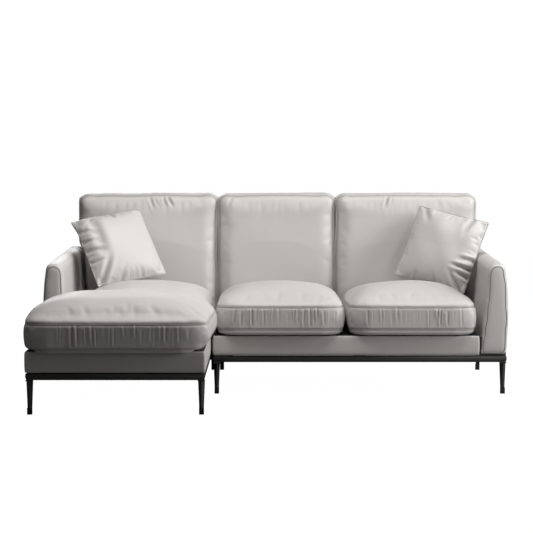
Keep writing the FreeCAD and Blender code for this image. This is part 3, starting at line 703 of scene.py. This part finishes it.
seats = {
    "voxel": 0.0115, "rounds": 5, "skin": 0.0022, "uneven": 0.0017, "waves": 0.26, "fill": 0.85,
    "frames": 18, "pressure": 4.0, "cap": 0.010, "slack": 0.01, "heldFoot": 0.010,
    "weltRadius": 0.0018, "weltStep": 0.005, "dipWidth": 0.007, "dipDepth": 0.003, "seamShade": 0.5,
    "gatherHeight": 0.0038, "gatherWidth": (0.0038, 0.0085), "gatherStep": (0.011, 0.042),
    "forward": 0.008, "corner": 0.12, "frontDepth": (0.05, 0.08),   # the front's overhang and where it ends
    "side": 0.0004, "room": 0.013,                    # play beside the neighbours and in front
    "lip": (0.014, 0.006), "reach": (0.18, 0.01),     # how far behind the front the drop begins and is whole
    "lipHeight": (0.002, 0.03), "dropFade": (-0.01, 0.10), "frontFade": (-0.01, 0.05), "crownHeight": 0.05,
    "boxing": (0.04, 0.06), "finerDepth": 0.05, "finerHeight": 0.012,
    "pieces": (       # name, seed, seam heights, front's drop and lower roll, gathers: left, right, strength
        ("left_seat", 3, (0.027, 0.131), 0.0, 0.017,
         ((-0.215, -0.10, 0.9), (-0.10, 0.09, 0.55), (0.09, 0.285, 1.0))),
        ("right_seat", 8, (0.027, 0.131), 0.0, 0.017,
         ((0.41, 0.52, 0.6), (0.52, 0.69, 0.5), (0.69, 0.865, 1.0))),
        ("lounger_seat", 5, (0.017, 0.1245), 0.011, 0.011,
         ((-0.93, -0.73, 0.6), (-0.73, -0.60, 0.3), (-0.60, -0.36, 0.6))),
    ),
}
loungerSeat = {
    "slope": (0.60, 0.75), "slopeFall": 0.012,        # the top slopes down between these places in front
    "sofaFront": -0.17, "bulgeStart": 0.06,           # in front of the sofa the cushion's side is free
    "bulge": 0.022, "bulgeReach": 0.12, "bulgeHeight": 0.06, "bulgeRoom": 0.03, "armRoom": 0.006,
}


def gathers(across, up, stretches, seed):   # ridges across a gathered panel, and how creased each place is, as painted shade
    draw = np.random.default_rng(seed)
    height = np.zeros(len(across))
    paintedCreaseShade = np.zeros(len(across))
    for left, right, strength in stretches:
        place = left + draw.uniform(0, 0.01)
        while place < right:
            width = draw.uniform(*seats["gatherWidth"])
            lean = draw.normal(0, 0.0035)
            bow = draw.normal(0, 0.0025)
            tall = strength * draw.uniform(0.15, 1.0)
            start, stop = draw.uniform(-0.05, 0.40), draw.uniform(0.85, 1.10)
            run = place + lean * (up - 0.5) + bow * np.sin(math.pi * up)
            off = (across - run) / width
            reach = ease(up, start, start + 0.30) * (1 - ease(up, stop - 0.16, stop))
            height += tall * reach * np.exp(-off ** 2)
            crease = np.exp(-((off - 1.35) / 0.55) ** 2) * tall * reach
            height -= 0.75 * crease
            # the crease's depth is also painted in as shade
            paintedCreaseShade = np.maximum(paintedCreaseShade, crease)
            place += draw.uniform(*seats["gatherStep"]) * (1.35 - 0.45 * strength)
    return height, paintedCreaseShade


def finerFaces(piece, chosen):   # one more division where the gathers need it
    bm = bmesh.new()
    bm.from_mesh(piece.data)
    bm.faces.ensure_lookup_table()
    edges = {e for f in bm.faces if chosen(f.calc_center_median(), f.normal) for e in f.edges}
    bmesh.ops.subdivide_edges(bm, edges=list(edges), cuts=1, use_grid_fill=True, smooth=0.0)
    bm.to_mesh(piece.data)
    bm.free()


def fullFront(spots, facing, low, high, seams, roll):   # the front stands upright and rolls under at its foot
    (lower, upper), (whole, ended) = seams, seats["frontDepth"]
    middle, half = (low.x + high.x) / 2, (high.x - low.x) / 2
    under = np.clip((lower - spots[:, 2]) / (lower - low.z), 0, 1)
    profile = low.y - seats["forward"] + roll * (1 - np.sqrt(1 - under ** 2))
    share = ease(-facing[:, 1], 0.1, 0.5) * (1 - ease(spots[:, 1], low.y + whole, low.y + ended))
    share *= 1 - ease(np.abs(spots[:, 0] - middle), half - seats["corner"], half - seats["corner"] / 8)
    share *= 1 - ease(spots[:, 2] - upper, *seats["frontFade"])
    return spots + np.outer((np.minimum(spots[:, 1], profile) - spots[:, 1]) * share, (0, 1, 0))


def hungFront(spots, low, upper, drop):   # the front hangs over the base band
    behind = low.y - spots[:, 1]
    lip = ease(behind, -seats["lip"][0], -seats["lip"][1])
    broad = ease(behind, -seats["reach"][0], -seats["reach"][1])
    share = ease(spots[:, 2] - low.z, *seats["lipHeight"])
    fall = drop * (lip * (1 - share) + broad * share) * (1 - ease(spots[:, 2] - upper, *seats["dropFade"]))
    return spots - np.outer(fall, (0, 0, 1))


def shapedLounger(spots, low, upper, right):   # its top slopes down in front and its free side bulges
    own = loungerSeat
    slope = ease(-spots[:, 1], *own["slope"]) * ease(spots[:, 2], upper, upper + 0.04)
    spots = spots - np.outer(own["slopeFall"] * slope, (0, 0, 1))
    free = ease(own["sofaFront"] - spots[:, 1], 0, own["bulgeStart"])
    push = own["bulge"] * free * ease(spots[:, 0], right - own["bulgeReach"], right)
    push *= ease(spots[:, 2], low.z, low.z + own["bulgeHeight"])
    spots = spots + np.outer(push, (1, 0, 0))
    limit = np.where(free > 0, right + own["bulgeRoom"], right)
    spots[:, 0] = np.clip(spots[:, 0], low.x - own["armRoom"], limit)
    return spots


def shapedSeat(name, spots, low, high, upper, drop):   # neighbours press the sides flat
    right = high.x - seats["side"]
    spots = hungFront(spots, low, upper, drop)
    if name == "lounger_seat":
        spots = shapedLounger(spots, low, upper, right)
    else:
        spots[:, 0] = np.clip(spots[:, 0], low.x + seats["side"], right)
    spots[:, 1] = np.clip(spots[:, 1], low.y - seats["room"], high.y)
    return spots


def seatCushion(name, seed, seams, drop, roll, stretches):
    low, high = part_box(name + "_cover")
    seams = lower, upper = low.z + seams[0], low.z + seams[1]
    piece = remeshed(name, nodeForm(name + "_core"), seats["voxel"], seats["rounds"])
    spots, facing = spotsOf(piece.data), facingOf(piece.data)
    side = np.abs(facing[:, 2]) < 0.7
    held = spots[:, 2] < low.z + seats["heldFoot"]
    for seam in seams:
        held |= side & (np.abs(spots[:, 2] - seam) < seats["voxel"] * 0.6)
    inflate(piece, held, seats)
    subdivided(piece)
    top, back = upper + seats["finerHeight"], low.y + seats["finerDepth"]
    finerFaces(piece, lambda at, out: out.y < -0.5 and at.z < top and at.y < back)
    spots, facing = spotsOf(piece.data), facingOf(piece.data)
    spots = spots + facing * seats["skin"]
    crown = ease(spots[:, 2], upper, upper + seats["crownHeight"])
    uneven = seats["uneven"] * ripple(spots, seats["waves"], seed) * (0.3 + 0.7 * crown)
    spots = fullFront(spots + facing * uneven[:, None], facing, low, high, seams, roll)
    up = (spots[:, 2] - lower) / (upper - lower)
    front = ease(-facing[:, 1], 0.55, 0.85) * (1 - ease(spots[:, 1] - low.y, *seats["boxing"]))
    height, paintedCreaseShade = gathers(spots[:, 0], up, stretches, seed)
    spots = spots + np.outer(seats["gatherHeight"] * height * front, (0, -1, 0))
    # the gathers' creases and the seam dips are painted shade in the colour
    masks = paintedCreaseShade * front
    for seam in seams:
        spots, mask = dipAt(spots, facing, (0, 0, seam), (0, 0, 1), seats["dipWidth"], seats["dipDepth"])
        masks = np.maximum(masks, mask * seats["seamShade"])
    moveTo(piece.data, spots)
    lines = [evened(cutLine(piece.data, (0, 0, seam), (0, 0, 1)), seats["weltStep"]) for seam in seams]
    welts = [weltMesh(shapedSeat(name, line, low, high, upper, drop), seats["weltRadius"]) for line in lines]
    moveTo(piece.data, shapedSeat(name, spots, low, high, upper, drop))
    seamed(piece, masks, welts)
    dress(piece, seatLeather, name, [name + "_cover", name + "_core"])


for entry in seats["pieces"]:
    seatCushion(*entry)
print("seat cushions made")

# Back cushions: plump fronts with a welt round the front edge

backs = {
    "voxel": 0.0125, "rounds": 5, "skin": 0.002, "uneven": 0.0014, "waves": 0.30, "fill": 0.8, "seed": 20,
    "frames": 18, "pressure": 4.0, "cap": 0.008, "slack": 0.01, "heldFoot": 0.010, "heldRear": 0.012,
    "seamIn": 0.22, "weltRadius": 0.0018, "weltStep": 0.005, "dipWidth": 0.006, "dipDepth": 0.003,
    "cornerReach": 0.10, "cornerFill": 0.011,       # the outline's corners are filled
    "sidePuff": 0.008, "groove": 0.004, "grooveEnd": (0.035, 0.075), "sideReach": 0.03, "footReach": 0.08,
    "crestOut": 0.010, "crestUp": 0.004, "crestReach": 0.13, "crestDepth": 0.03,
    "sideRoom": 0.0026, "frontRoom": 0.004, "topRoom": 0.003,
    "seamShade": 0.7, "pleatShade": (0.012, 0.5),   # the depth of a fully shaded pleat and the most shade
    "pleats": {          # short pleats below the top seam: x and z of both ends, width and depth
        "left_back": (
            (-0.622, 0.895, -0.600, 0.835, 0.008, 0.006), (-0.606, 0.895, -0.578, 0.845, 0.006, 0.004),
            (-0.555, 0.897, -0.545, 0.850, 0.007, 0.005), (-0.535, 0.897, -0.505, 0.845, 0.008, 0.006)),
        "middle_back": (
            (-0.215, 0.890, -0.235, 0.840, 0.009, 0.004),),
        "right_back": (
            (0.565, 0.897, 0.545, 0.835, 0.008, 0.006), (0.585, 0.897, 0.580, 0.855, 0.006, 0.003)),
    },
}


def squared(spots, low, high):   # fills the outline's corners and presses the sides against the neighbours
    middle, half = (low + high) / 2, (high - low) / 2
    reach = backs["cornerReach"]
    across, up = spots[:, 0] - middle.x, spots[:, 2] - middle.z
    sideShare = ease(np.abs(across), half.x - reach, half.x)
    corner = sideShare * ease(up, half.z - reach, half.z) * backs["cornerFill"]
    inner = ease(spots[:, 1] - low.y, *backs["grooveEnd"])
    puff = ease(np.abs(across), half.x - backs["sideReach"], half.x)
    puff *= ease(spots[:, 2], low.z, low.z + backs["footReach"])
    puff *= backs["sidePuff"] * inner - backs["groove"] * (1 - inner)
    spots = spots + np.outer((corner + puff) * np.sign(across), (1, 0, 0)) + np.outer(corner, (0, 0, 1))
    crest = ease(up, half.z - backs["crestReach"], half.z - 0.01)
    crest *= 1 - ease(spots[:, 1] - middle.y, -backs["crestDepth"], backs["crestDepth"])
    spots = spots + np.outer(crest, (0, -backs["crestOut"], backs["crestUp"]))
    spots[:, 0] = np.clip(spots[:, 0], low.x - backs["sideRoom"], high.x + backs["sideRoom"])
    spots[:, 1] = np.clip(spots[:, 1], low.y - backs["frontRoom"], high.y)
    spots[:, 2] = np.minimum(spots[:, 2], high.z + backs["topRoom"])
    return spots


def backCushion(name, seed):
    low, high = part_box(name + "_cover")
    piece = remeshed(name, nodeForm(name + "_core"), backs["voxel"], backs["rounds"])
    spots, facing = spotsOf(piece.data), facingOf(piece.data)
    seam = low.y + (high.y - low.y) * backs["seamIn"]
    edge = np.abs(facing[:, 1]) < 0.75
    held = edge & (np.abs(spots[:, 1] - seam) < backs["voxel"] * 0.6)
    held |= (spots[:, 2] < low.z + backs["heldFoot"]) | (spots[:, 1] > high.y - backs["heldRear"])
    inflate(piece, held, backs)
    subdivided(piece)
    spots, facing = spotsOf(piece.data), facingOf(piece.data)
    spots = squared(spots + facing * backs["skin"], low, high)
    spots = spots + facing * (backs["uneven"] * ripple(spots, backs["waves"], seed))[:, None]
    front = ease(-facing[:, 1], 0.1, 0.5)
    pleat = folded(spots[:, 0], spots[:, 2], backs["pleats"][name]) * front
    spots = spots - np.outer(pleat, (0, 1, 0))
    spots, mask = dipAt(spots, facing, (0, seam, 0), (0, 1, 0), backs["dipWidth"], backs["dipDepth"])
    moveTo(piece.data, spots)
    line = evened(cutLine(piece.data, (0, seam, 0), (0, 1, 0)), backs["weltStep"])
    # the seam's dip and the pleats get painted shade in the colour
    deep, most = backs["pleatShade"]
    masks = np.maximum(mask * backs["seamShade"], np.clip(-pleat / deep, 0, most))
    seamed(piece, masks, [weltMesh(line, backs["weltRadius"])])
    dress(piece, backLeather, name, [name + "_cover", name + "_core"])


for number, name in enumerate(backs["pleats"]):
    backCushion(name, backs["seed"] + number)
print("back cushions made")

# Loose pillows: two squares of leather piped at the edge, slack enough to crease

pillows = {
    "side": 0.372, "segments": 60, "wall": 0.002, "loft": 0.068, "edge": 2.4, "round": 0.60, "pull": 0.018,
    "frames": 20, "pressure": 4, "cap": 0.007, "slack": 0.025, "heldEdge": 0.98, "fill": 0.7,
    "uneven": 0.0022, "waves": 0.16, "seed": 40, "weltRadius": 0.0024, "weltStep": 0.004,
    "creaseShade": (0.016, 0.4),        # the depth of a fully shaded crease and the most shade
    "pieces": {     # turn, lean, roll, folded corner, creases: both ends in half sides, width and depth
        "left_pillow": (28, 31, 9, 0.022, (
            (-1.05, 0.60, -0.55, 0.42, 0.06, 0.006), (-1.05, 0.28, -0.62, 0.20, 0.05, 0.005),
            (-1.05, 0.02, -0.50, -0.12, 0.06, 0.006), (-1.05, -0.32, -0.60, -0.38, 0.05, 0.005),
            (-0.55, 0.85, -0.62, -0.45, 0.13, 0.007), (-0.92, -1.0, -0.45, -0.25, 0.07, 0.010),
            (-0.35, -1.02, -0.15, -0.62, 0.06, 0.004), (0.30, -1.02, 0.22, -0.70, 0.05, 0.003),
            (0.10, 1.02, 0.02, 0.70, 0.06, 0.004))),
        "right_pillow": (-24, 21, -13, 0.0, (
            (1.05, -0.10, 0.60, -0.22, 0.06, 0.008), (1.05, -0.38, 0.45, -0.40, 0.05, 0.010),
            (1.05, -0.62, 0.55, -0.55, 0.05, 0.008), (0.90, -1.0, 0.45, -0.50, 0.06, 0.009),
            (0.62, 0.98, 0.55, 0.35, 0.08, 0.006), (-0.80, 1.02, -0.45, 0.55, 0.08, 0.006),
            (0.15, -1.02, 0.10, -0.70, 0.05, 0.004), (-0.45, -1.02, -0.35, -0.72, 0.05, 0.003))),
    },
}


def pillowFrame(centre, turn, lean, roll):   # turned to the right, tipped back and rolled in its own plane
    turn, lean, roll = (math.radians(angle) for angle in (turn, lean, roll))
    level = Vector((math.cos(turn), math.sin(turn), 0))
    facing = Vector((math.sin(turn) * math.cos(lean), -math.cos(turn) * math.cos(lean), math.sin(lean)))
    upwards = facing.cross(level)
    across = level * math.cos(roll) + upwards * math.sin(roll)
    along = upwards * math.cos(roll) - level * math.sin(roll)
    made = Matrix((across, along, facing)).transposed().to_4x4()
    made.translation = centre
    return made


def pillow(name, seed):
    turn, lean, roll, corner, creases = pillows["pieces"][name]
    low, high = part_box(name + "_core")
    half = pillows["side"] / 2
    bm = bmesh.new()
    bmesh.ops.create_grid(bm, x_segments=pillows["segments"], y_segments=pillows["segments"], size=half)
    bmesh.ops.solidify(bm, geom=bm.faces[:], thickness=pillows["wall"])
    bmesh.ops.recalc_face_normals(bm, faces=bm.faces)
    piece = pieceFrom(name, bm)
    spots = spotsOf(piece.data)
    spots[:, 2] -= spots[:, 2].mean()
    across, up = spots[:, 0] / half, spots[:, 1] / half
    plump = np.clip((1 - np.abs(across) ** pillows["edge"]) * (1 - np.abs(up) ** pillows["edge"]), 0, 1)
    spots[:, 2] += np.sign(spots[:, 2]) * pillows["loft"] * plump ** pillows["round"]
    spots[:, 0] *= 1 - pillows["pull"] * (1 - up ** 2) * np.abs(across)
    spots[:, 1] *= 1 - pillows["pull"] * (1 - across ** 2) * np.abs(up)
    spots[:, 2] -= corner * ease(up - across, 1.5, 2.0)
    moveTo(piece.data, spots)
    inflate(piece, np.maximum(np.abs(across), np.abs(up)) > pillows["heldEdge"], pillows)
    subdivided(piece)
    spots, facing = spotsOf(piece.data), facingOf(piece.data)
    fold = folded(spots[:, 0] / half, spots[:, 1] / half, creases) * ease(facing[:, 2], 0.0, 0.3)
    uneven = pillows["uneven"] * ripple(spots, pillows["waves"], seed) * np.abs(facing[:, 2])
    moveTo(piece.data, spots + facing * (fold + uneven)[:, None])
    seam = cutLine(piece.data, (0, 0, 0), (0, 0, 1))
    piping = weltMesh(evened(seam, pillows["weltStep"]), pillows["weltRadius"])
    for mesh in (piece.data, piping):
        mesh.transform(pillowFrame((low + high) / 2, turn, lean, roll))
    # the creases get painted shade in the colour, and the piping gets the welts' painted shade
    deep, most = pillows["creaseShade"]
    seamed(piece, np.clip(-fold / deep, 0, most), [piping])
    dress(piece, pillowLeather, name, [name + "_cover", name + "_core"])


for number, name in enumerate(pillows["pieces"]):
    pillow(name, pillows["seed"] + number)
print("pillows made")

addCamera()
addWorld()
addFloor()
addLights()
print("studio set up")
